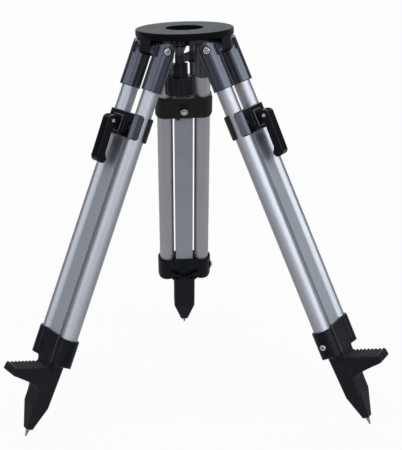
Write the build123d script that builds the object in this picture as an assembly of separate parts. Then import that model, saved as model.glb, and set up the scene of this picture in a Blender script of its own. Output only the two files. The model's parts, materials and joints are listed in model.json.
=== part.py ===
from build123d import *
import math
import os

# A low construction tripod: a round flat head on three legs that fold and lengthen.
# Millimetres, +Z up, origin at the middle of the head's seat face.
# Leg pieces are drawn in the leg's own frame: X outward, Y across the leg, Z up the leg,
# with the two tube axes in the plane X = 0 and the hinge pin at Z = 0. A "drop" is a
# distance down the leg from the hinge pin.

# Head plate
head_diameter = 140.0
head_thickness = 10.0
head_edge_radius = 1.8
bore_diameter = 54.6

# Leg hinges
pin_circle_inset = 14.6
pin_drop = 24.4
pin_diameter = 8.0
lug_eye_radius = 10.2
head_gap = 2.2
washer_diameter = 20.0
washer_thickness = 1.0
bolt_head_diameter = 11.0
bolt_head_height = 3.4
bolt_head_round = 1.4
bolt_socket_width = 5.0
bolt_socket_depth = 1.8
nut_socket_depth = 0.9
nut_engagement = 2.2
head_pocket_depth = 4.6
head_pocket_clearance = 0.7

# Clearances
running_play = 0.05
fit_play = 0.05
flat_play = 0.15
slide_play = 0.3
strap_play = 0.15

# Leg stance: azimuth from +X and tilt from upright, in degrees
left_leg_azimuth = 210.0
right_leg_azimuth = 330.0
back_leg_azimuth = 90.0
leg_splay = 23.8

# Leg tubes
tube_diameter = 24.0
tube_wall = 1.5
tube_offset = 28.7
tube_inset = 4.0
tube_top_drop = 16.0

# Hinge sleeves
sleeve_wall = 2.95
sleeve_bottom_drop = 58.0
sleeve_shift_across = 1.2
sleeve_shift_out = 0.8
sleeve_edge_radius = 1.0
sleeve_crown_radius = 1.6
sleeve_boss_inset = 1.5
pocket_width = 5.4
pocket_rib = 3.4
pocket_depth = 3.6
pocket_top_rise = 4.5
pocket_bottom_drop = 11.0

# Clamp jaws
jaw_top_drop = 94.0
jaw_height = 35.4
jaw_wall = 3.6
jaw_lip = 5.2
jaw_flat_azimuth = 57.0
jaw_flat_depth = 0.9
jaw_corner_radius = 4.0
jaw_edge_radius = 1.2
inner_jaw_corner_radius = 8.0
inner_jaw_edge_radius = 2.0
jaw_stop_diameter = 5.0
jaw_stop_offset = 9.0
jaw_stop_drop = 1.6
jaw_boss_diameter = 17.0
jaw_boss_height = 2.0
saddle_width = 25.0
saddle_length = 24.0
saddle_height = 5.6
saddle_edge_radius = 1.2

# Clamp lever, its pin and the tension bolt
lever_pin_below_jaw = 18.4
lever_pin_diameter = 6.0
lever_pin_chamfer = 0.6
cam_radius = 8.5
cam_throw = 1.0
lever_width = 18.4
lever_hub_proud = 0.5
lever_reach = 61.0
lever_back = 8.3
lever_back_end = 6.7
lever_belly = 3.0
lever_belly_end = 4.2
lever_hook_depth = 9.0
lever_hook_rise = 6.5
lever_hook_length = 14.0
lever_throat_radius = 3.0
lever_hook_radius = 2.4
lever_heel_setback = 5.7
lever_heel_radius = 3.0
lever_end_radius = 7.0
lever_edge_radius = 1.0
eye_radius = 6.0
eye_width = 7.0
eye_slot_clearance = 0.5
tension_bolt_diameter = 6.0
tension_nut_width = 10.0
tension_nut_height = 5.0
tension_bolt_stub = 1.5

# Rail
rail_side_gap = 2.7
rail_depth = 18.0
rail_wall = 2.0
rail_edge_radius = 0.6
rail_below_jaw_top = 2.0

# Bottom bridge
bridge_top_drop = 423.0
bridge_height = 40.5
bridge_wall = 3.3
bridge_floor = 4.5
bridge_corner_radius = 7.0
bridge_valley_radius = 6.0
bridge_edge_radius = 1.2
bridge_rib_width = 2.2
bridge_rib_height = 2.2
bridge_rib_pitch = 7.0
bridge_rib_count = 3
bridge_rib_top = 38.0
bridge_ledge_rise = 14.0
bridge_ledge_width = 3.6
bridge_ledge_height = 4.6
bridge_ledge_sag_radius = 10.0
bridge_screw_drop = 21.0
bridge_pad_width = 11.0
bridge_pad_height = 0.9
screw_diameter = 5.0
screw_length = 12.0
screw_head_diameter = 8.6
screw_head_height = 2.8
screw_head_round = 1.2
screw_socket_width = 3.2
screw_socket_depth = 1.2

# Foot, spike and foot pin
foot_gap = 0.3
shaft_side_wall = 3.45
shaft_face_wall = 3.25
shaft_length = 68.0
shaft_edge = 2.5
shaft_draft = 3.2
shoulder_flare = 9.5
shoulder_height = 10.5
shoulder_depth = 16.0
taper_length = 37.6
toe_width = 12.0
toe_depth = 10.0
toe_edge = 1.0
socket_depth = 40.0
pedal_width = 33.0
pedal_reach = 47.0
pedal_root_drop = 8.4
pedal_fall = 10.0
pedal_nose = 11.0
pedal_nose_overhang = 2.0
pedal_web_drop = 38.6
pedal_belly_reach = 29.0
pedal_belly_drop = 32.8
pedal_tooth_pitch = 5.5
pedal_tooth_height = 2.4
pedal_edge_radius = 1.2
pedal_nose_radius = 3.0
pedal_belly_radius = 16.0
pedal_web_radius = 10.0
spike_diameter = 7.0
spike_embed = 26.0
spike_reach = 12.2
spike_tip_radius = 0.8
foot_pin_diameter = 4.0
foot_pin_drop = 26.0

# Guide post, swing arm and friction ring
arm_pivot_inset = 35.2
arm_pivot_azimuth = 71.3
arm_swing = -14.1
arm_top_drop = 38.9
arm_height = 12.5
arm_sheet = 1.3
pivot_bolt_diameter = 7.2
pivot_bolt_embed = 7.0
pivot_bolt_reach = 66.0
pivot_head_width = 10.0
pivot_head_height = 3.2
pivot_washer_diameter = 11.6
pivot_washer_thickness = 1.2
ring_wall = 2.0
ring_height = 3.0

# Fixing screw, retaining cup and knob
thread_diameter = 15.875
thread_tip_gap = 0.8
thread_length = 12.4
thread_chamfer = 1.2
shank_diameter = 11.0
cup_hub_diameter = 13.2
cup_hub_height = 3.9
cup_rim_diameter = 20.4
cup_height = 11.6
cup_wall = 1.2
neck_diameter = 23.0
neck_length = 17.5
grip_height = 27.5
grip_diameter = 45.0
grip_edge_radius = 3.0
flute_count = 16
flute_radius = 2.6
flute_depth = 1.5
core_floor = 6.0

# Derived places
leg_azimuths = {"left": left_leg_azimuth, "right": right_leg_azimuth, "back": back_leg_azimuth}
pin_circle_radius = head_diameter / 2 - pin_circle_inset
arm_pivot_radius = head_diameter / 2 - arm_pivot_inset
tube_radius = tube_diameter / 2
sleeve_radius = tube_radius + fit_play + sleeve_wall
sleeve_eye_radius = pin_drop - head_thickness - head_gap
sleeve_offset = tube_offset + sleeve_shift_across
hinge_face = sleeve_offset - sleeve_radius
lug_face = hinge_face - washer_thickness - 2 * flat_play
bolt_seat = sleeve_offset + sleeve_radius - head_pocket_depth
jaw_bottom_drop = jaw_top_drop + jaw_height
jaw_bore_radius = tube_radius + slide_play
jaw_radius = jaw_bore_radius + jaw_wall
lever_pin_drop = jaw_top_drop + lever_pin_below_jaw
nut_face = -jaw_radius - jaw_boss_height
lever_hub_face = lever_width / 2 + lever_hub_proud
lever_pin_out = jaw_radius + saddle_height + slide_play + cam_radius + cam_throw
bridge_bottom_drop = bridge_top_drop + bridge_height
bridge_radius = tube_radius + fit_play + bridge_wall
bridge_half_depth = rail_depth / 2 + slide_play + bridge_wall
bridge_pad_face = tube_offset + bridge_radius + bridge_pad_height
foot_top_drop = bridge_bottom_drop + foot_gap
taper_top_drop = foot_top_drop + shaft_length
toe_drop = taper_top_drop + taper_length
rail_bottom_drop = foot_top_drop + socket_depth
rail_width = 2 * (tube_offset - tube_radius - rail_side_gap)
shaft_width = rail_width + 2 * (fit_play + shaft_side_wall)
shaft_depth = rail_depth + 2 * (fit_play + shaft_face_wall)
arm_top = -arm_top_drop
arm_bottom = arm_top - arm_height
pivot_radius = pivot_bolt_diameter / 2
post_bottom = -head_thickness - pivot_bolt_reach
thread_tip = -head_thickness - thread_tip_gap
cup_bottom = arm_top + flat_play
neck_top = arm_bottom - flat_play
grip_top = neck_top - neck_length
grip_bottom = grip_top - grip_height


# Shape helpers
def rod(radius, start, end):
    span = Vector(*end) - Vector(*start)
    bar = Cylinder(radius, span.length, align=(Align.CENTER, Align.CENTER, Align.MIN))
    return Plane(origin=start, z_dir=span) * bar


def block(x, y, z):
    centre = Pos((x[0] + x[1]) / 2, (y[0] + y[1]) / 2, (z[0] + z[1]) / 2)
    return centre * Box(x[1] - x[0], y[1] - y[0], z[1] - z[0])


def outline(points, radii):
    return make_face(FilletPolyline(*points, radius=radii, close=True).edges())


def slab(sketch, low, high):
    return extrude(Pos(0, 0, low) * sketch, amount=high - low)


def side_slab(sketch, half_width):
    # A sketch of (outward, up) carried across the leg, the same both ways.
    return extrude(Plane.XZ * sketch, amount=half_width, both=True)


def front_slab(sketch, inner, outer):
    # A sketch of (across, up) carried outward from one depth to another.
    return extrude(Plane.YZ.offset(inner) * sketch, amount=outer - inner)


def pan_head(width, height, edge, socket_width, socket_depth):
    # Domed screw head that sits on Z = 0 with a hexagon recess in its top.
    dome = Pos(0, 0, height / 2) * Cylinder(width / 2, height)
    dome = fillet(dome.edges().group_by(Axis.Z)[-1], edge)
    socket = RegularPolygon(socket_width / 2, 6, major_radius=False)
    return dome - slab(socket, height - socket_depth, height)


def across(place, towards):
    # Frame at a point whose Z looks across the leg.
    return Plane(origin=place, z_dir=(0, towards, 0))


def both_sides(piece):
    return piece, mirror(piece, about=Plane.XZ)


# Head plate with its lugs and the guide post's hole
def leg_frame(azimuth):
    turn = math.radians(azimuth)
    tilt = math.radians(leg_splay)
    outward = Vector(math.cos(turn), math.sin(turn), 0)
    normal = outward * math.cos(tilt) + Vector(0, 0, math.sin(tilt))
    upward = outward * -math.sin(tilt) + Vector(0, 0, math.cos(tilt))
    pin = outward * pin_circle_radius - Vector(0, 0, pin_drop)
    return Plane(origin=pin - normal * tube_inset, x_dir=normal, z_dir=upward).location


def arm_pivot():
    turn = math.radians(arm_pivot_azimuth)
    return Vector(arm_pivot_radius * math.cos(turn), arm_pivot_radius * math.sin(turn), 0)


def screw_axis():
    turn = math.radians(arm_pivot_azimuth + 180 + arm_swing)
    return arm_pivot() + Vector(math.cos(turn), math.sin(turn), 0) * arm_pivot_radius


def head_plate():
    plate = Pos(0, 0, -head_thickness / 2) * Cylinder(head_diameter / 2, head_thickness)
    plate = fillet(plate.edges(), head_edge_radius)
    eye = Pos(pin_circle_radius, -pin_drop) * Circle(lug_eye_radius)
    web_height = pin_drop - head_thickness / 2
    web = Pos(pin_circle_radius, -pin_drop + web_height / 2) * Rectangle(2 * lug_eye_radius, web_height)
    lug = side_slab(eye + web, lug_face)
    hole_start = (pin_circle_radius, -2 * lug_face, -pin_drop)
    hole_end = (pin_circle_radius, 2 * lug_face, -pin_drop)
    lug -= rod(pin_diameter / 2 + fit_play, hole_start, hole_end)
    for azimuth in leg_azimuths.values():
        plate += Rot(0, 0, azimuth) * lug
    pivot = arm_pivot()
    hole_top = pivot + Vector(0, 0, pivot_bolt_embed - head_thickness)
    plate -= rod(pivot_radius + fit_play, pivot - Vector(0, 0, head_thickness), hole_top)
    return plate - Pos(0, 0, -head_thickness / 2) * Cylinder(bore_diameter / 2, 2 * head_thickness)


# Hinge fasteners, drawn in the leg frame round the pin
def hinge_cap(depth):
    return pan_head(bolt_head_diameter, bolt_head_height, bolt_head_round, bolt_socket_width, depth)


def hinge_bolt():
    head = hinge_cap(bolt_socket_depth)
    face = bolt_seat + flat_play
    shank = rod(pin_diameter / 2, (tube_inset, -face - nut_engagement, 0), (tube_inset, face, 0))
    return shank + across((tube_inset, face, 0), 1) * head


def hinge_nut():
    cap = hinge_cap(nut_socket_depth)
    cap -= rod(pin_diameter / 2 + fit_play, (0, 0, 0), (0, 0, nut_engagement + fit_play))
    return across((tube_inset, -bolt_seat - flat_play, 0), -1) * cap


def friction_washers():
    inner = lug_face + flat_play
    ring = rod(washer_diameter / 2, (tube_inset, inner, 0), (tube_inset, inner + washer_thickness, 0))
    ring -= rod(pin_diameter / 2 + fit_play, (tube_inset, 0, 0), (tube_inset, tube_offset, 0))
    return both_sides(ring)


# Upper leg: sleeves, tubes and the bottom bridge with its screws
def sleeve():
    low = -sleeve_bottom_drop
    inner = sleeve_shift_out - sleeve_radius
    outer = sleeve_shift_out + sleeve_radius
    body_points = [
        (tube_inset - sleeve_eye_radius, 0),
        (inner, inner - tube_inset + sleeve_eye_radius),
        (inner, low),
        (outer, low),
        (outer, 0),
    ]
    profile = Pos(tube_inset, 0) * Circle(sleeve_eye_radius) + outline(body_points, 0)
    column_low = (sleeve_shift_out, sleeve_offset, low)
    column = rod(sleeve_radius, column_low, (sleeve_shift_out, sleeve_offset, sleeve_eye_radius))
    column = fillet(column.edges().group_by(Axis.Z)[0], sleeve_edge_radius)
    body = column & side_slab(profile, sleeve_offset + sleeve_radius)
    crown = [edge for edge in body.edges() if edge.center().Z > -sleeve_radius]
    body = fillet(crown, sleeve_crown_radius)
    boss_radius = sleeve_eye_radius - sleeve_boss_inset
    body += rod(boss_radius, (tube_inset, hinge_face, 0), (tube_inset, tube_offset, 0))
    outside = tube_offset + 2 * sleeve_radius
    body -= rod(pin_diameter / 2 + running_play, (tube_inset, 0, 0), (tube_inset, outside, 0))
    head_room = bolt_head_diameter / 2 + head_pocket_clearance
    body -= rod(head_room, (tube_inset, bolt_seat, 0), (tube_inset, outside, 0))
    body -= rod(tube_radius + fit_play, (0, tube_offset, low), (0, tube_offset, -tube_top_drop))
    for side in (-1, 1):
        middle = sleeve_offset + side * (pocket_rib + pocket_width) / 2
        depth = (outer - pocket_depth, 2 * outer)
        width = (middle - pocket_width / 2, middle + pocket_width / 2)
        body -= block(depth, width, (-pocket_bottom_drop, pocket_top_rise))
    return body


def tubes():
    # A plain one and the one that the bridge's screw enters.
    low = -(bridge_bottom_drop - bridge_floor)
    wall = rod(tube_radius, (0, tube_offset, low), (0, tube_offset, -tube_top_drop))
    wall -= rod(tube_radius - tube_wall, (0, tube_offset, low), (0, tube_offset, -tube_top_drop))
    plain, screwed = both_sides(wall)
    return plain, screwed - bridge_screw_hole()


def bridge_screw_hole():
    level = -(bridge_top_drop + bridge_screw_drop)
    return rod(screw_diameter / 2 + fit_play, (0, -tube_offset, level), (0, -2 * tube_offset, level))


def bridge():
    low = -bridge_bottom_drop
    high = -bridge_top_drop
    half_width = tube_offset + bridge_radius
    plan = Rectangle(2 * bridge_half_depth, 2 * tube_offset)
    for side in (-1, 1):
        plan += Pos(0, side * tube_offset) * Circle(bridge_radius)
    plan = fillet(plan.vertices(), bridge_valley_radius)
    front = outline(
        [(-half_width, low), (half_width, low), (half_width, high), (-half_width, high)],
        [bridge_corner_radius, bridge_corner_radius, 0, 0],
    )
    body = slab(plan, low, high) & front_slab(front, -bridge_radius, bridge_radius)
    body = fillet(body.edges().group_by(Axis.Z)[-1], bridge_edge_radius)
    level = high - bridge_screw_drop
    pad = block(
        (-bridge_pad_width / 2, bridge_pad_width / 2),
        (-bridge_pad_face, -tube_offset),
        (level - bridge_pad_width / 2, level + bridge_pad_width / 2),
    )
    body += pad
    body += bridge_ribs()
    window = Rectangle(rail_depth + 2 * slide_play, rail_width + 2 * slide_play)
    body -= slab(window, low, high)
    for side in (-1, 1):
        place = side * tube_offset
        body -= rod(tube_radius + fit_play, (0, place, low + bridge_floor), (0, place, high))
    return body - bridge_screw_hole()


def bridge_ribs():
    # Stiffening ribs on the inner face: upright ones over a deeper sagging ledge.
    face = -bridge_half_depth
    low = -bridge_bottom_drop
    reach = tube_offset - tube_radius / 2
    end = low + bridge_ledge_rise
    points = [
        (0, low),
        (reach, end),
        (reach, end + bridge_ledge_width),
        (0, low + bridge_ledge_width),
        (-reach, end + bridge_ledge_width),
        (-reach, end),
    ]
    ledge = outline(points, [bridge_ledge_sag_radius, 0, 0, bridge_ledge_sag_radius, 0, 0])
    ribs = front_slab(ledge, face - bridge_ledge_height, face)
    for number in range(bridge_rib_count):
        place = (number - (bridge_rib_count - 1) / 2) * bridge_rib_pitch
        width = (place - bridge_rib_width / 2, place + bridge_rib_width / 2)
        start = low + bridge_ledge_width / 2 + bridge_ledge_rise * abs(place) / reach
        ribs += block((face - bridge_rib_height, face), width, (start, low + bridge_rib_top))
    return ribs


def bridge_screw():
    level = -(bridge_top_drop + bridge_screw_drop)
    head = pan_head(
        screw_head_diameter,
        screw_head_height,
        screw_head_round,
        screw_socket_width,
        screw_socket_depth,
    )
    tip = (0, screw_length - bridge_pad_face, level)
    shank = rod(screw_diameter / 2, tip, (0, -bridge_pad_face, level))
    return across((0, -bridge_pad_face, level), -1) * head + shank


# Clamp: jaws, tension bolt and nut, lever and its pin
def jaw_block():
    # Both jaws before they are cut apart: a round-ended bar across the two tubes, flat beside each outer lip.
    plan = Rectangle(2 * jaw_radius, 2 * tube_offset)
    flat = Pos(1.5 * jaw_radius - jaw_flat_depth, 0) * Rectangle(jaw_radius, 2 * jaw_radius)
    for side in (-1, 1):
        plan += Pos(0, side * tube_offset) * Circle(jaw_radius)
        plan -= Pos(0, side * tube_offset) * Rot(0, 0, side * jaw_flat_azimuth) * flat
    return slab(plan, -jaw_bottom_drop, -jaw_top_drop)


def tube_room():
    # What the jaws leave free for the tubes, the rail and the tension bolt.
    room = Rectangle(rail_depth + 2 * fit_play, rail_width + 2 * fit_play)
    for side in (-1, 1):
        room += Pos(0, side * tube_offset) * Circle(jaw_bore_radius)
    return slab(room, -jaw_bottom_drop, -jaw_top_drop) + bolt_hole()


def bolt_hole():
    radius = tension_bolt_diameter / 2 + slide_play
    return rod(radius, (-2 * jaw_radius, 0, -lever_pin_drop), (2 * jaw_radius, 0, -lever_pin_drop))


def outer_jaw():
    # Outside the tubes' plane, with the two ends of its lip rounded.
    low = -jaw_bottom_drop
    high = -jaw_top_drop
    lip = [(jaw_lip, low), (jaw_radius, low), (jaw_radius, high), (jaw_lip, high)]
    half = side_slab(outline(lip, [jaw_corner_radius, 0, 0, jaw_corner_radius]), tube_offset + jaw_radius)
    ends = jaw_block().edges().group_by(Axis.Z)
    body = fillet(ends[0] + ends[-1], jaw_edge_radius) & half
    saddle_level = (-lever_pin_drop - saddle_length / 2, -lever_pin_drop + saddle_length / 2)
    middle = (-saddle_width / 2, saddle_width / 2)
    saddle = block((jaw_radius - jaw_wall, jaw_radius + saddle_height), middle, saddle_level)
    body += fillet(saddle.edges(), saddle_edge_radius)
    return body - tube_room()


def inner_jaw():
    # Inside the tubes' plane, with its two lower corners rounded and a boss for the nut.
    half_width = tube_offset + jaw_radius
    low = -jaw_bottom_drop
    high = -jaw_top_drop
    face = [(-half_width, low), (half_width, low), (half_width, high), (-half_width, high)]
    radii = [inner_jaw_corner_radius, inner_jaw_corner_radius, 0, 0]
    body = jaw_block() & front_slab(outline(face, radii), -jaw_radius, -jaw_lip)
    rim = [edge for edge in body.edges() if edge.center().X < -jaw_lip - inner_jaw_edge_radius]
    body = fillet(rim, inner_jaw_edge_radius)
    boss_start = (nut_face, 0, -lever_pin_drop)
    body += rod(jaw_boss_diameter / 2, boss_start, (-jaw_radius + jaw_wall, 0, -lever_pin_drop))
    stop_place = -jaw_radius + jaw_stop_diameter / 4
    stop_end = (stop_place, jaw_stop_offset, low - jaw_stop_drop)
    body += rod(jaw_stop_diameter / 2, stop_end, (stop_place, jaw_stop_offset, -lever_pin_drop))
    return body - tube_room()


def tension_bolt():
    level = -lever_pin_drop
    eye = rod(eye_radius, (lever_pin_out, -eye_width / 2, level), (lever_pin_out, eye_width / 2, level))
    end = nut_face - tension_nut_height - tension_bolt_stub
    eye += rod(tension_bolt_diameter / 2, (end, 0, level), (lever_pin_out, 0, level))
    hole_start = (lever_pin_out, -eye_width, level)
    return eye - rod(lever_pin_diameter / 2 + fit_play, hole_start, (lever_pin_out, eye_width, level))


def tension_nut():
    # Seated on the inner jaw's boss, with two of its corners up and down the leg.
    looks_in = Plane(origin=(nut_face, 0, -lever_pin_drop), x_dir=(0, 0, 1), z_dir=(-1, 0, 0))
    hexagon = RegularPolygon(tension_nut_width / 2, 6, major_radius=False)
    hexagon -= Circle(tension_bolt_diameter / 2 + fit_play)
    return looks_in * slab(hexagon, 0, tension_nut_height)


def lever_arm():
    arm_points = [
        (lever_back, cam_radius - cam_throw / 2),
        (-lever_belly, cam_radius - cam_throw / 2),
        (-lever_belly, -cam_radius),
        (-lever_belly_end, lever_hook_length - lever_reach),
        (-lever_hook_depth, lever_hook_rise - lever_reach),
        (-lever_heel_setback, -lever_reach),
        (lever_back_end, -lever_reach),
    ]
    arm_radii = [
        cam_radius - cam_throw,
        0,
        0,
        lever_throat_radius,
        lever_hook_radius,
        lever_heel_radius,
        lever_end_radius,
    ]
    arm = side_slab(outline(arm_points, arm_radii), lever_width / 2)
    long_edges = arm.edges().group_by(Axis.Y)
    return fillet(long_edges[0] + long_edges[-1], lever_edge_radius)


def clamp_lever():
    cam = rod(cam_radius, (-cam_throw, -lever_hub_face, 0), (-cam_throw, lever_hub_face, 0))
    cam = fillet(cam.edges().filter_by(GeomType.CIRCLE), lever_edge_radius)
    body = lever_arm() + cam
    half_slot = eye_width / 2 + eye_slot_clearance
    slot_radius = eye_radius + eye_slot_clearance
    body -= rod(slot_radius, (0, -half_slot, 0), (0, half_slot, 0))
    across_slot = (-half_slot, half_slot)
    body -= block((-lever_reach, 0), across_slot, (-slot_radius, lever_reach))
    rod_room = tension_bolt_diameter / 2 + eye_slot_clearance
    body -= block((0, lever_reach), across_slot, (rod_room, lever_reach))
    body -= rod(lever_pin_diameter / 2 + running_play, (0, -lever_width, 0), (0, lever_width, 0))
    return Pos(lever_pin_out, 0, -lever_pin_drop) * body


def lever_pin():
    level = -lever_pin_drop
    start = (lever_pin_out, -lever_hub_face, level)
    pin = rod(lever_pin_diameter / 2, start, (lever_pin_out, lever_hub_face, level))
    return chamfer(pin.edges().filter_by(GeomType.CIRCLE), lever_pin_chamfer)


# Lower leg: rail, foot, spike and foot pin
def rail():
    outer = RectangleRounded(rail_depth, rail_width, rail_edge_radius)
    hollow = Rectangle(rail_depth - 2 * rail_wall, rail_width - 2 * rail_wall)
    bar = slab(outer - hollow, -rail_bottom_drop, -jaw_top_drop - rail_below_jaw_top)
    level = -(foot_top_drop + foot_pin_drop)
    pin_hole = rod(foot_pin_diameter / 2 + fit_play, (-rail_depth, 0, level), (rail_depth, 0, level))
    return bar - bolt_hole() - pin_hole


def pedal():
    # A tread with cross grooves, a blunt nose and a web that runs down into the shaft.
    root = shaft_depth / 2
    start = rail_depth / 2
    top = -foot_top_drop - pedal_root_drop
    nose = root + pedal_reach
    web = -foot_top_drop - pedal_web_drop
    points = [
        (start, top),
        (root, top),
        (nose, top - pedal_fall),
        (nose + pedal_nose_overhang, top - pedal_fall - pedal_nose),
        (root + pedal_belly_reach, -foot_top_drop - pedal_belly_drop),
        (root, web),
        (root, web - pedal_web_radius),
        (start, web - pedal_web_radius),
    ]
    radii = [0, 0, pedal_nose_radius, pedal_nose_radius, pedal_belly_radius, pedal_web_radius, 0, 0]
    body = side_slab(outline(points, radii), pedal_width / 2)
    long_edges = body.edges().group_by(Axis.Y)
    body = fillet(long_edges[0] + long_edges[-1], pedal_edge_radius)
    half_pitch = pedal_tooth_pitch / 2
    groove = outline([(-half_pitch, 0), (0, -pedal_tooth_height), (half_pitch, 0)], 0)
    slope = math.degrees(math.atan2(pedal_fall, pedal_reach))
    for number in range(int((pedal_reach - pedal_nose_radius) // pedal_tooth_pitch)):
        along = half_pitch + number * pedal_tooth_pitch
        tread = top - along * pedal_fall / pedal_reach
        body -= side_slab(Pos(root + along, tread) * Rot(0, 0, -slope) * groove, pedal_width)
    return body


def foot():
    high = -foot_top_drop
    shaft_low = -taper_top_drop
    section = chamfer(Rectangle(shaft_depth, shaft_width).vertices(), shaft_edge)
    toe = chamfer(Rectangle(toe_depth, toe_width).vertices(), toe_edge)
    # The shaft's inner face leans out towards the top.
    root = chamfer(Rectangle(shaft_depth + shaft_draft, shaft_width).vertices(), shaft_edge)
    body = loft([Pos(-shaft_draft / 2, 0, high) * root, Pos(0, 0, shaft_low) * section])
    body += loft([Pos(0, 0, shaft_low) * section, Pos(0, 0, -toe_drop) * toe])
    half = shaft_width / 2 + shoulder_flare
    wedge = [
        (-half, high),
        (-shaft_width / 2, high - shoulder_height),
        (shaft_width / 2, high - shoulder_height),
        (half, high),
    ]
    body += front_slab(outline(wedge, 0), -shoulder_depth / 2, shoulder_depth / 2)
    body += pedal()
    socket = Rectangle(rail_depth + 2 * fit_play, rail_width + 2 * fit_play)
    body -= slab(socket, -rail_bottom_drop - fit_play, high)
    spike_top = -toe_drop + spike_embed + fit_play
    body -= rod(spike_diameter / 2 + fit_play, (0, 0, -toe_drop), (0, 0, spike_top))
    level = high - foot_pin_drop
    body -= rod(foot_pin_diameter / 2 + fit_play, (-shaft_depth, 0, level), (shaft_depth / 2, 0, level))
    return body


def spike():
    stem = rod(spike_diameter / 2, (0, 0, -toe_drop), (0, 0, -toe_drop + spike_embed))
    hang = (Align.CENTER, Align.CENTER, Align.MAX)
    point = Cone(spike_tip_radius, spike_diameter / 2, spike_reach, align=hang)
    return stem + Pos(0, 0, -toe_drop) * point


def foot_pin():
    level = -(foot_top_drop + foot_pin_drop)
    return rod(foot_pin_diameter / 2, (-shaft_depth / 2, 0, level), (shaft_depth / 2 - fit_play, 0, level))


# Swing arm on its guide post, and the fixing screw with its cup and knob
def swing_arm():
    pivot = arm_pivot()
    eye = screw_axis()
    middle = (pivot + eye) * 0.5
    heading = math.degrees(math.atan2(eye.Y - pivot.Y, eye.X - pivot.X))
    pivot_room = pivot_radius + strap_play
    eye_room = shank_diameter / 2 + strap_play
    plan = Pos(middle.X, middle.Y) * Rot(0, 0, heading) * Rectangle(arm_pivot_radius, 2 * arm_sheet)
    plan += Pos(pivot.X, pivot.Y) * Circle(pivot_room + arm_sheet)
    plan += Pos(eye.X, eye.Y) * Circle(eye_room + arm_sheet)
    plan -= Pos(pivot.X, pivot.Y) * Circle(pivot_room)
    plan -= Pos(eye.X, eye.Y) * Circle(eye_room)
    return slab(plan, arm_bottom, arm_top)


def lift_ring():
    bore = pivot_radius + running_play
    high = arm_bottom - flat_play
    return Location(arm_pivot()) * slab(Circle(bore + ring_wall) - Circle(bore), high - ring_height, high)


def pivot_bolt():
    shank = slab(Circle(pivot_radius), post_bottom, pivot_bolt_embed - head_thickness - fit_play)
    hexagon = RegularPolygon(pivot_head_width / 2, 6, major_radius=False)
    head = slab(hexagon, post_bottom - pivot_head_height, post_bottom)
    return Location(arm_pivot()) * (shank + head)


def pivot_washer():
    ring = Circle(pivot_washer_diameter / 2) - Circle(pivot_radius + fit_play)
    return Location(arm_pivot()) * slab(ring, post_bottom, post_bottom + pivot_washer_thickness)


def fixing_screw():
    thread_low = thread_tip - thread_length
    thread = slab(Circle(thread_diameter / 2), thread_low, thread_tip)
    thread = chamfer(thread.edges().group_by(Axis.Z)[-1], thread_chamfer)
    thread += slab(Circle(shank_diameter / 2), grip_bottom + core_floor, thread_low)
    return Location(screw_axis()) * thread


def retaining_cup():
    bore = shank_diameter / 2 + fit_play
    hub = cup_hub_diameter / 2
    rim = cup_rim_diameter / 2
    shoulder = cup_bottom + cup_hub_height
    top = cup_bottom + cup_height
    floor = top - (rim - cup_wall - bore) * (top - shoulder) / (rim - hub)
    outside = [(bore, cup_bottom), (hub, cup_bottom), (hub, shoulder), (rim, top)]
    inside = [(rim - cup_wall, top), (bore, floor)]
    return Location(screw_axis()) * revolve(Plane.XZ * outline(outside + inside, 0), Axis.Z)


def knob():
    hub = slab(Circle(neck_diameter / 2), grip_top, neck_top)
    grip = slab(Circle(grip_diameter / 2), grip_bottom, grip_top)
    grip = fillet(grip.edges(), grip_edge_radius)
    flute_place = grip_diameter / 2 + flute_radius - flute_depth
    for number in range(flute_count):
        turn = Rot(0, 0, number * 360 / flute_count)
        grip -= turn * Pos(flute_place, 0) * slab(Circle(flute_radius), grip_bottom, grip_top)
    core = slab(Circle(shank_diameter / 2 + fit_play), grip_bottom + core_floor - fit_play, neck_top)
    body = hub + grip - core
    return Location(screw_axis()) * body


# Write every node
def write(name, *solids):
    shape = solids[0] if len(solids) == 1 else Compound(children=list(solids))
    export_step(shape, f"parts/{name}.step")


def write_leg(name, place):
    side_names = ("a", "b")
    for side_name, piece in zip(side_names, both_sides(sleeve())):
        write(f"{name}_sleeve_{side_name}", place * piece)
    for side_name, piece in zip(side_names, tubes()):
        write(f"{name}_tube_{side_name}", place * piece)
    write(f"{name}_bridge", place * bridge())
    write(f"{name}_bridge_screw", place * bridge_screw())
    write(f"{name}_rail", place * rail())
    write(f"{name}_outer_jaw", place * outer_jaw())
    write(f"{name}_inner_jaw", place * inner_jaw())
    write(f"{name}_tension_bolt", place * tension_bolt())
    write(f"{name}_tension_nut", place * tension_nut())
    write(f"{name}_clamp_lever", place * clamp_lever())
    write(f"{name}_lever_pin", place * lever_pin())
    write(f"{name}_foot", place * foot())
    write(f"{name}_spike", place * spike())
    write(f"{name}_foot_pin", place * foot_pin())


os.makedirs("parts", exist_ok=True)
leg_places = {name: leg_frame(azimuth) for name, azimuth in leg_azimuths.items()}
write("head_plate", head_plate())
write("hinge_bolts", *[place * hinge_bolt() for place in leg_places.values()])
write("hinge_nuts", *[place * hinge_nut() for place in leg_places.values()])
write("friction_washers", *[place * ring for place in leg_places.values() for ring in friction_washers()])
for leg_name, leg_place in leg_places.items():
    write_leg(leg_name, leg_place)
write("swing_arm", swing_arm())
write("pivot_bolt", pivot_bolt())
write("pivot_washer", pivot_washer())
write("lift_ring", lift_ring())
write("fixing_screw", fixing_screw())
write("retaining_cup", retaining_cup())
write("knob", knob())
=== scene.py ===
import json
import math
import bmesh
import bpy
from mathutils import Matrix, Vector


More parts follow.
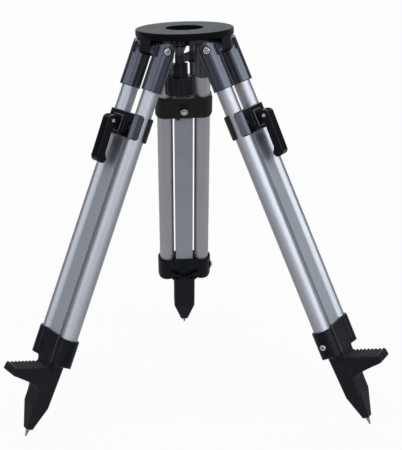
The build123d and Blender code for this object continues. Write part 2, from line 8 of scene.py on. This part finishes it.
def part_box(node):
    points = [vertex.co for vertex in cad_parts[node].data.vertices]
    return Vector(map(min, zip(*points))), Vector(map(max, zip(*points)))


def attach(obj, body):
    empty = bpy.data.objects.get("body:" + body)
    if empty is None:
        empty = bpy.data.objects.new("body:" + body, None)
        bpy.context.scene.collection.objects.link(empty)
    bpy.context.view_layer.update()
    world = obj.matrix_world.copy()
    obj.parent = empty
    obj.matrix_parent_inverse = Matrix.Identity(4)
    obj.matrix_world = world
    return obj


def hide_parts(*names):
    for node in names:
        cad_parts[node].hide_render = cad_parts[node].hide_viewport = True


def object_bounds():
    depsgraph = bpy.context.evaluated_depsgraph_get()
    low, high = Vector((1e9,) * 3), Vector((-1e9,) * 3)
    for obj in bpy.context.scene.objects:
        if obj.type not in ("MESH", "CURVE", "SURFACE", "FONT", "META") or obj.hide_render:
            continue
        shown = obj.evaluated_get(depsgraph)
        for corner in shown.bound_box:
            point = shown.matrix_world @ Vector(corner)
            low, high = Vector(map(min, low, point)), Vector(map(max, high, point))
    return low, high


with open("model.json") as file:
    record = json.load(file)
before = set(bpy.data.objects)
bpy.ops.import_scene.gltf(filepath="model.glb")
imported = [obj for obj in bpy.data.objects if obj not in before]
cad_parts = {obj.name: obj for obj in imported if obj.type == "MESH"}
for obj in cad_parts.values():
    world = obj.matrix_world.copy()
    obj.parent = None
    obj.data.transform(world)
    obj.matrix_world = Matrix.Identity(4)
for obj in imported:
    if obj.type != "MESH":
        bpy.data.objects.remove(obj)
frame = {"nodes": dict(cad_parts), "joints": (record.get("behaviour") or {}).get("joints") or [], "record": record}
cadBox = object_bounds()
nodes = frame["nodes"]
joints = {joint["name"]: joint for joint in frame["joints"]}
legs = ("left", "right", "back")
print("frame loaded:", len(nodes), "nodes")


# where each leg stands: X outward, Y across, Z up the leg, origin at the hinge pin
def legPlace(leg):
    across = -Vector(joints[leg + "_leg_swing"]["axis"])
    upward = -Vector(joints[leg + "_leg_slide"]["axis"])
    outward = across.cross(upward)
    turn = Matrix((outward, across, upward)).transposed().to_4x4()
    return Matrix.Translation(joints[leg + "_leg_swing"]["pos_m"]) @ turn


legPlaces = {leg: legPlace(leg) for leg in legs}

# what all finishes share
finishLook = {
    "edgeSamples": 6, "coverSamples": 8, "fineDetail": 3.0,
    "edgeCosine": (0.8, 0.985),  # rounded against flat normal: full edge colour, no edge colour
    "wornAndSheenScale": 160.0, "wornAndSheenShare": (0.1, 1.0),
}
mixSockets = {"share": 0, "first": 6, "second": 7, "colour": 2}  # of a Mix node set to colours


# small helpers for finishes
def newFinish(name):
    made = bpy.data.materials.new(name)
    made.use_nodes = True
    return made, made.node_tree, made.node_tree.nodes["Principled BSDF"]


def put(tree, kind, **settings):
    node = tree.nodes.new(kind)
    for key, value in settings.items():
        if key in node.inputs:
            node.inputs[key].default_value = value
        else:
            setattr(node, key, value)
    return node


def join(tree, out, into):
    tree.links.new(out, into)


def restPlace(tree, leg=None, stretch=(1, 1, 1)):
    # place on the piece at rest, turned so that Z runs up the leg
    spot = put(tree, "ShaderNodeTexCoord")
    turned = put(tree, "ShaderNodeMapping")
    if leg:
        turned.inputs["Rotation"].default_value = legPlaces[leg].to_3x3().transposed().to_euler("XYZ")
    drawn = put(tree, "ShaderNodeMapping", Scale=stretch)
    join(tree, spot.outputs["Object"], turned.inputs["Vector"])
    join(tree, turned.outputs["Vector"], drawn.inputs["Vector"])
    return drawn.outputs["Vector"]


def noise(tree, place, scale, detail=2.0):
    made = put(tree, "ShaderNodeTexNoise", Scale=scale, Detail=detail)
    join(tree, place, made.inputs["Vector"])
    return made.outputs["Fac"]


def spread(tree, source, low, high, fromLow=0.3, fromHigh=0.7):
    made = put(tree, "ShaderNodeMapRange")
    for key, value in (("From Min", fromLow), ("From Max", fromHigh), ("To Min", low), ("To Max", high)):
        made.inputs[key].default_value = value
    join(tree, source, made.inputs["Value"])
    return made.outputs["Result"]


def tint(tree, share, first, second):
    # from the first colour to the second; each is a socket or three numbers
    made = put(tree, "ShaderNodeMix", data_type="RGBA")
    join(tree, share, made.inputs[mixSockets["share"]])
    for key, colour in (("first", first), ("second", second)):
        into = made.inputs[mixSockets[key]]
        if isinstance(colour, bpy.types.NodeSocket):
            join(tree, colour, into)
        else:
            into.default_value = (*colour, 1)
    return made.outputs[mixSockets["colour"]]


def product(tree, first, second):
    made = put(tree, "ShaderNodeMath", operation="MULTIPLY")
    join(tree, first, made.inputs[0])
    join(tree, second, made.inputs[1])
    return made.outputs["Value"]


def roundedEdge(tree, radius):
    made = put(tree, "ShaderNodeBevel", samples=finishLook["edgeSamples"], Radius=radius)
    return made.outputs["Normal"]


def edgeShare(tree, softNormal):
    # 0 on faces, 1 along rounded edges, which get the worn-and-sheen colour
    flat = put(tree, "ShaderNodeNewGeometry")
    compare = put(tree, "ShaderNodeVectorMath", operation="DOT_PRODUCT")
    join(tree, softNormal, compare.inputs[0])
    join(tree, flat.outputs["Normal"], compare.inputs[1])
    return spread(tree, compare.outputs["Value"], 1.0, 0.0, *finishLook["edgeCosine"])


def paintedShadeShare(tree, look):
    # 0 in the open, 1 where the piece is covered, the mask of the painted shade; what lies closer than the near
    # reach doesn't count
    samples = finishLook["coverSamples"]
    far = put(tree, "ShaderNodeAmbientOcclusion", samples=samples, Distance=look["shadeFarReach"])
    near = put(tree, "ShaderNodeAmbientOcclusion", samples=samples, Distance=look["shadeNearReach"])
    covered = put(tree, "ShaderNodeMath", operation="SUBTRACT")
    join(tree, near.outputs["AO"], covered.inputs[0])
    join(tree, far.outputs["AO"], covered.inputs[1])
    return spread(tree, covered.outputs["Value"], 0.0, 1.0, *look["shadeCoverRange"])


def relief(tree, height, softNormal, depth):
    made = put(tree, "ShaderNodeBump", Strength=1.0, Distance=depth)
    join(tree, height, made.inputs["Height"])
    join(tree, softNormal, made.inputs["Normal"])
    return made.outputs["Normal"]


# black mouldings and coats: grain, cloudy sheen, and lighter edges that are partly wear and, on the head coat,
# partly a painted highlight
def mouldedFinish(name, look):
    made, tree, shader = newFinish(name)
    place = restPlace(tree)
    soft = roundedEdge(tree, look["edge"])
    cloud = noise(tree, place, look["cloudScale"])
    grain = noise(tree, place, look["grainScale"], finishLook["fineDetail"])
    patches = spread(tree, noise(tree, place, finishLook["wornAndSheenScale"]), *finishLook["wornAndSheenShare"])
    # lighter edges: worn patches, and on the head coat also a painted highlight along the rim
    wornAndSheen = product(tree, edgeShare(tree, soft), patches)
    colour = tint(tree, spread(tree, cloud, 0.0, 1.0), look["colour"], look["cloudColour"])
    join(tree, tint(tree, wornAndSheen, colour, look["wornAndSheenColour"]), shader.inputs["Base Color"])
    join(tree, spread(tree, cloud, *look["rough"]), shader.inputs["Roughness"])
    join(tree, relief(tree, grain, soft, look["grainDepth"]), shader.inputs["Normal"])
    shader.inputs["Specular IOR Level"].default_value = look["shine"]
    shader.inputs["Specular Tint"].default_value = (*look["cast"], 1)
    return made


# bare metals: lengthwise draw lines, slight cloudiness, and painted shade where a piece is covered
def metalFinish(name, look, leg=None):
    made, tree, shader = newFinish(name)
    lengthwise = restPlace(tree, leg, (1, 1, look["drawn"]))
    lines = noise(tree, lengthwise, look["lineScale"], finishLook["fineDetail"])
    cloud = noise(tree, restPlace(tree, leg), look["cloudScale"])
    soft = roundedEdge(tree, look["edge"])
    colour = tint(tree, spread(tree, cloud, 0.0, 1.0), look["colour"], look["cloudColour"])
    # painted shade: the colour darkens where other pieces stand close over the surface, in place of their shadow
    if "shadeFarReach" in look:
        colour = tint(tree, paintedShadeShare(tree, look), colour, look["paintedShadeColour"])
    join(tree, colour, shader.inputs["Base Color"])
    join(tree, spread(tree, lines, *look["rough"]), shader.inputs["Roughness"])
    join(tree, relief(tree, lines, soft, look["lineDepth"]), shader.inputs["Normal"])
    shader.inputs["Metallic"].default_value = look["metal"]
    return made


headCoat = {
    "colour": (0.0016, 0.0016, 0.0024), "cloudColour": (0.0026, 0.0026, 0.0036),
    # the head's edge colour is raised to paint a highlight along the rim, besides its wear
    "wornAndSheenColour": (0.085, 0.087, 0.094), "cast": (0.8, 0.85, 1.0), "shine": 0.1, "rough": (0.37, 0.41),
    "cloudScale": 26.0, "grainScale": 1500.0, "grainDepth": 0.00005, "edge": 0.0013,
}
sleevePlastic = {
    "colour": (0.02, 0.0215, 0.032), "cloudColour": (0.025, 0.027, 0.039),
    "wornAndSheenColour": (0.06, 0.063, 0.08), "cast": (0.82, 0.87, 1.0), "shine": 1.0, "rough": (0.2, 0.27),
    "cloudScale": 45.0, "grainScale": 1900.0, "grainDepth": 0.00004, "edge": 0.0008,
}
jawGloss = {
    "colour": (0.0016, 0.0019, 0.0036), "cloudColour": (0.0026, 0.003, 0.005),
    "wornAndSheenColour": (0.009, 0.0095, 0.012), "cast": (0.8, 0.85, 1.0), "shine": 0.72, "rough": (0.12, 0.17),
    "cloudScale": 60.0, "grainScale": 380.0, "grainDepth": 0.00002, "edge": 0.0007,
}
innerJawPlastic = {
    "colour": (0.0072, 0.0074, 0.005), "cloudColour": (0.0102, 0.0103, 0.0072),
    "wornAndSheenColour": (0.026, 0.0255, 0.021), "cast": (1.0, 1.0, 0.92), "shine": 0.3, "rough": (0.4, 0.5),
    "cloudScale": 60.0, "grainScale": 1500.0, "grainDepth": 0.00004, "edge": 0.0008,
}
leverGloss = {
    "colour": (0.003, 0.003, 0.0042), "cloudColour": (0.0045, 0.0045, 0.006),
    "wornAndSheenColour": (0.024, 0.024, 0.029), "cast": (0.8, 0.85, 1.0), "shine": 0.2, "rough": (0.15, 0.22),
    "cloudScale": 70.0, "grainScale": 420.0, "grainDepth": 0.00002, "edge": 0.0009,
}
bridgePlastic = {
    "colour": (0.0026, 0.0027, 0.004), "cloudColour": (0.004, 0.0042, 0.006),
    "wornAndSheenColour": (0.012, 0.0124, 0.015), "cast": (0.8, 0.85, 1.0), "shine": 0.2, "rough": (0.26, 0.36),
    "cloudScale": 50.0, "grainScale": 1700.0, "grainDepth": 0.00004, "edge": 0.001,
}
footPlastic = {
    "colour": (0.0058, 0.0054, 0.0072), "cloudColour": (0.0088, 0.0082, 0.0106),
    "wornAndSheenColour": (0.026, 0.025, 0.028), "cast": (0.8, 0.85, 1.0), "shine": 0.26, "rough": (0.46, 0.6),
    "cloudScale": 38.0, "grainScale": 1500.0, "grainDepth": 0.00006, "edge": 0.001,
}
knobPlastic = {
    "colour": (0.0085, 0.0088, 0.0125), "cloudColour": (0.0115, 0.0118, 0.016),
    "wornAndSheenColour": (0.03, 0.031, 0.038), "cast": (0.8, 0.85, 1.0), "shine": 0.36, "rough": (0.28, 0.38),
    "cloudScale": 70.0, "grainScale": 1700.0, "grainDepth": 0.00004, "edge": 0.0008,
}
bushPlastic = {
    "colour": (0.009, 0.009, 0.0095), "cloudColour": (0.013, 0.013, 0.0135),
    "wornAndSheenColour": (0.035, 0.035, 0.035), "cast": (0.8, 0.85, 1.0), "shine": 0.34, "rough": (0.35, 0.45),
    "cloudScale": 90.0, "grainScale": 1700.0, "grainDepth": 0.00003, "edge": 0.0005,
}
armCoat = {
    "colour": (0.03, 0.03, 0.034), "cloudColour": (0.04, 0.04, 0.045),
    "wornAndSheenColour": (0.14, 0.14, 0.148), "cast": (0.8, 0.85, 1.0), "shine": 0.38, "rough": (0.32, 0.45),
    "cloudScale": 60.0, "grainScale": 1300.0, "grainDepth": 0.00004, "edge": 0.0005,
}
tubeAluminium = {
    "colour": (0.52, 0.525, 0.56), "cloudColour": (0.55, 0.555, 0.59), "metal": 1.0, "rough": (0.42, 0.48),
    "drawn": 0.012, "lineScale": 900.0, "lineDepth": 0.000012, "cloudScale": 30.0, "edge": 0.0004,
}
railAluminium = {
    "colour": (0.41, 0.42, 0.45), "cloudColour": (0.44, 0.45, 0.48), "metal": 0.12, "rough": (0.44, 0.52),
    "drawn": 0.012, "lineScale": 800.0, "lineDepth": 0.00001, "cloudScale": 26.0, "edge": 0.0003,
    # painted shade: the rail darkens under the lever, in place of the lever's shadow
    "paintedShadeColour": (0.06, 0.063, 0.072), "shadeFarReach": 0.036, "shadeNearReach": 0.009, "shadeCoverRange": (0.12, 0.4),
}
brightZinc = {
    "colour": (0.62, 0.63, 0.66), "cloudColour": (0.72, 0.73, 0.75), "metal": 1.0, "rough": (0.16, 0.27),
    "drawn": 1.0, "lineScale": 700.0, "lineDepth": 0.00001, "cloudScale": 240.0, "edge": 0.0004,
    # painted shade: the zinc darkens in its recesses and sockets
    "paintedShadeColour": (0.06, 0.062, 0.07), "shadeFarReach": 0.0025, "shadeNearReach": 0.00001, "shadeCoverRange": (0.05, 0.55),
}
darkSteel = {
    "colour": (0.1, 0.1, 0.108), "cloudColour": (0.15, 0.15, 0.16), "metal": 1.0, "rough": (0.28, 0.4),
    "drawn": 1.0, "lineScale": 600.0, "lineDepth": 0.00001, "cloudScale": 200.0, "edge": 0.0003,
}
spikeSteel = {
    "colour": (0.34, 0.34, 0.35), "cloudColour": (0.43, 0.43, 0.44), "metal": 1.0, "rough": (0.26, 0.4),
    "drawn": 0.08, "lineScale": 900.0, "lineDepth": 0.000015, "cloudScale": 180.0, "edge": 0.0004,
}

mouldedLooks = {
    "head_coat": headCoat, "sleeve_plastic": sleevePlastic, "jaw_gloss": jawGloss,
    "inner_jaw_plastic": innerJawPlastic, "lever_gloss": leverGloss, "bridge_plastic": bridgePlastic,
    "foot_plastic": footPlastic, "knob_plastic": knobPlastic, "bush_plastic": bushPlastic,
    "arm_steel": armCoat,
}
metalLooks = {"zinc": brightZinc, "dark_steel": darkSteel, "spike_steel": spikeSteel}
legMetalLooks = {"tube_aluminium": tubeAluminium, "rail_aluminium": railAluminium}

finishes = {slot: mouldedFinish(slot, look) for slot, look in mouldedLooks.items()}
finishes.update({slot: metalFinish(slot, look) for slot, look in metalLooks.items()})
for slot, look in legMetalLooks.items():
    for leg in legs:
        finishes[leg + "_" + slot] = metalFinish(leg + "_" + slot, look, leg)
print("finishes made:", len(finishes))


# every CAD node keeps its shape and gets the finish of its slot, drawn along its own leg if it has one
def slotOf(node):
    return node.material_slots[0].material.name.split(".")[0]


for name, node in nodes.items():
    slot = slotOf(node)
    leg = name.split("_")[0]
    node.material_slots[0].material = finishes.get(slot) or finishes.get(leg + "_" + slot)
print("finishes set")


# fixing screw with its thread cut as a helix, hung on its own axis; its reach comes from the frame
mm = 0.001
inch = 0.0254
thread = next(mount for mount in frame["record"]["mounts"] if mount["name"] == "fixing_thread")
screwLow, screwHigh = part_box("fixing_screw")
screwLook = {
    "foot": screwLow.z, "tip": screwHigh.z,
    "root": thread["pos_m"][2] - thread["dims"]["length_mm"] * mm / 2,
    "major": thread["dims"]["r_mm"] * mm, "minor": 0.0066, "shank": 0.0055, "chamfer": 0.0012,
    "pitch": inch / 11, "perPitch": 14, "around": 48,
    "flankSlope": 2.2, "rootWidth": 0.6,  # steeper flanks leave flats at the crest and the root
}


def threadRadii(look, drop):
    widest = look["major"] - max(0.0, look["chamfer"] - drop)
    radii = []
    for step in range(look["around"]):
        phase = (drop / look["pitch"] + step / look["around"]) % 1.0
        crest = min(1.0, max(0.0, look["flankSlope"] * abs(2 * phase - 1) - look["rootWidth"]))
        radii.append(min(widest, look["minor"] + crest * (look["major"] - look["minor"])))
    return radii


def buildScrew():
    look = screwLook
    axis = Vector(joints["screw_spin"]["pos_m"])
    length = look["tip"] - look["root"]
    count = int(length / look["pitch"] * look["perPitch"])
    turns = [2 * math.pi * step / look["around"] for step in range(look["around"])]
    shank = [look["shank"]] * look["around"]
    mesh = bmesh.new()

    def ring(level, radii):
        return [mesh.verts.new((axis.x + radius * math.cos(turn), axis.y + radius * math.sin(turn), level))
                for turn, radius in zip(turns, radii)]

    rings = [ring(look["foot"], shank), ring(look["root"], shank)]
    for row in range(count + 1):
        drop = length * (1 - row / count)
        rings.append(ring(look["tip"] - drop, threadRadii(look, drop)))
    for lower, upper in zip(rings, rings[1:]):
        for step in range(look["around"]):
            after = (step + 1) % look["around"]
            mesh.faces.new((lower[step], lower[after], upper[after], upper[step]))
    mesh.faces.new(list(reversed(rings[0])))
    mesh.faces.new(rings[-1])
    made = bpy.data.meshes.new("threaded_screw")
    mesh.to_mesh(made)
    mesh.free()
    screw = bpy.data.objects.new("threaded_screw", made)
    bpy.context.scene.collection.objects.link(screw)
    made.materials.append(finishes["dark_steel"])
    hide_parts("fixing_screw")
    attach(screw, "screw")


buildScrew()
print("screw thread cut")


# pale floor: matt grey to the light, near white to the camera, partly white in reflections
floorLook = {
    "size": 14.0, "gap": 0.0002, "albedo": 0.45, "seenAlbedo": 0.95, "seenWhite": 0.94, "mirroredWhite": 0.24,
}


def floorFinish():
    look = floorLook
    made, tree, shader = newFinish("floor_pale")
    tree.nodes.remove(shader)
    ray = put(tree, "ShaderNodeLightPath")
    matt = put(tree, "ShaderNodeBsdfDiffuse")
    pale = tint(tree, ray.outputs["Is Camera Ray"], [look["albedo"]] * 3, [look["seenAlbedo"]] * 3)
    join(tree, pale, matt.inputs["Color"])
    white = put(tree, "ShaderNodeEmission", Strength=1.0)
    mirrored = put(tree, "ShaderNodeMath", operation="MAXIMUM")
    join(tree, ray.outputs["Is Glossy Ray"], mirrored.inputs[0])
    join(tree, ray.outputs["Is Transmission Ray"], mirrored.inputs[1])
    dimmed = put(tree, "ShaderNodeMath", operation="MULTIPLY")
    join(tree, mirrored.outputs[0], dimmed.inputs[0])
    dimmed.inputs[1].default_value = look["mirroredWhite"]
    seen = put(tree, "ShaderNodeMath", operation="MULTIPLY_ADD")
    join(tree, ray.outputs["Is Camera Ray"], seen.inputs[0])
    seen.inputs[1].default_value = look["seenWhite"]
    join(tree, dimmed.outputs[0], seen.inputs[2])
    mixed = put(tree, "ShaderNodeMixShader")
    join(tree, seen.outputs[0], mixed.inputs[0])
    join(tree, matt.outputs[0], mixed.inputs[1])
    join(tree, white.outputs[0], mixed.inputs[2])
    join(tree, mixed.outputs[0], tree.nodes["Material Output"].inputs["Surface"])
    return made


def buildFloor():
    mesh = bpy.data.meshes.new("floor")
    half = floorLook["size"] / 2
    low = cadBox[0][2] - floorLook["gap"]
    corners = [(-half, -half, low), (half, -half, low), (half, half, low), (-half, half, low)]
    mesh.from_pydata(corners, [], [(0, 1, 2, 3)])
    floor = bpy.data.objects.new("floor", mesh)
    bpy.context.scene.collection.objects.link(floor)
    mesh.materials.append(floorFinish())


# the room: a dim dome with soft boxes in it, angles in degrees round from the front and up from level
domeLook = {"dim": 0.1, "colour": (0.97, 0.985, 1.0), "boxColour": (0.88, 0.94, 1.0), "seen": (1, 1, 1)}
boxLooks = {
    "right_box": {"round": (4, 88), "up": (12, 28), "soft": (5, 4), "level": 4.2},
    "left_box": {"round": (-92, -22), "up": (14, 28), "soft": (8, 4), "level": 2.8},
    "front_fill": {"round": (-22, 4), "up": (2, 34), "soft": (8, 8), "level": 0.9},
    "top_front": {"round": (-70, 70), "up": (46, 80), "soft": (8, 8), "level": 0.8},
    "back_card": {"round": (146, 214), "up": (-2, 26), "soft": (8, 8), "level": 0.95},
    "back_top": {"round": (120, 240), "up": (28, 60), "soft": (8, 8), "level": 1.4},
}


def window(tree, angle, low, high, soft):
    rise = spread(tree, angle, 0.0, 1.0, math.radians(low - soft), math.radians(low + soft))
    fall = spread(tree, angle, 1.0, 0.0, math.radians(high - soft), math.radians(high + soft))
    return product(tree, rise, fall)


def buildDome():
    world = bpy.data.worlds.new("studio_dome")
    bpy.context.scene.world = world
    world.use_nodes = True
    tree = world.node_tree
    way = put(tree, "ShaderNodeTexCoord")
    parts = put(tree, "ShaderNodeSeparateXYZ")
    join(tree, way.outputs["Generated"], parts.inputs[0])
    toFront = put(tree, "ShaderNodeMath", operation="MULTIPLY")
    join(tree, parts.outputs["Y"], toFront.inputs[0])
    toFront.inputs[1].default_value = -1.0
    around = put(tree, "ShaderNodeMath", operation="ARCTAN2")
    join(tree, parts.outputs["X"], around.inputs[0])
    join(tree, toFront.outputs[0], around.inputs[1])
    eitherWay = put(tree, "ShaderNodeMath", operation="ABSOLUTE")
    join(tree, around.outputs[0], eitherWay.inputs[0])
    lift = put(tree, "ShaderNodeMath", operation="ARCSINE")
    join(tree, parts.outputs["Z"], lift.inputs[0])
    shade = put(tree, "ShaderNodeRGB")
    shade.outputs[0].default_value = (*[domeLook["dim"] * part for part in domeLook["colour"]], 1)
    total = shade.outputs[0]
    for look in boxLooks.values():
        angle = eitherWay if look["round"][1] > 180 else around  # a box that goes on past the very back
        across = window(tree, angle.outputs[0], *look["round"], look["soft"][0])
        upright = window(tree, lift.outputs[0], *look["up"], look["soft"][1])
        bright = [look["level"] * part for part in domeLook["boxColour"]]
        glow = tint(tree, product(tree, across, upright), (0, 0, 0), bright)
        added = put(tree, "ShaderNodeVectorMath", operation="ADD")
        join(tree, total, added.inputs[0])
        join(tree, glow, added.inputs[1])
        total = added.outputs[0]
    ray = put(tree, "ShaderNodeLightPath")
    shown = tint(tree, ray.outputs["Is Camera Ray"], total, domeLook["seen"])
    join(tree, shown, tree.nodes["Background"].inputs["Color"])


# camera where the picture was taken from, angles in degrees, lens and sensor in millimetres
cameraLook = {
    "place": (-0.0728, -1.7155, 0.2262), "heading": 0.05, "pitch": 16.755, "roll": -1.997,
    "lens": 96.303, "sensor": 36.0, "shift": 0.1333, "farthest": 100.0,
}


def buildCamera():
    look = cameraLook
    heading, pitch, roll = (math.radians(look[key]) for key in ("heading", "pitch", "roll"))
    level = Vector((math.sin(heading), math.cos(heading), 0))
    right = Vector((math.cos(heading), -math.sin(heading), 0))
    ahead = level * math.cos(pitch) - Vector((0, 0, math.sin(pitch)))
    above = right.cross(ahead)
    across = right * math.cos(roll) + above * math.sin(roll)
    upward = above * math.cos(roll) - right * math.sin(roll)
    lens = bpy.data.cameras.new("camera")
    lens.sensor_width = look["sensor"]
    lens.lens = look["lens"]
    lens.shift_x = look["shift"]
    lens.clip_end = look["farthest"]
    camera = bpy.data.objects.new("camera", lens)
    turn = Matrix((across, upward, -ahead)).transposed().to_4x4()
    camera.matrix_world = Matrix.Translation(look["place"]) @ turn
    bpy.context.scene.collection.objects.link(camera)
    bpy.context.scene.camera = camera


buildFloor()
buildDome()
buildCamera()
bpy.context.scene.view_settings.view_transform = "Standard"
print("studio set")
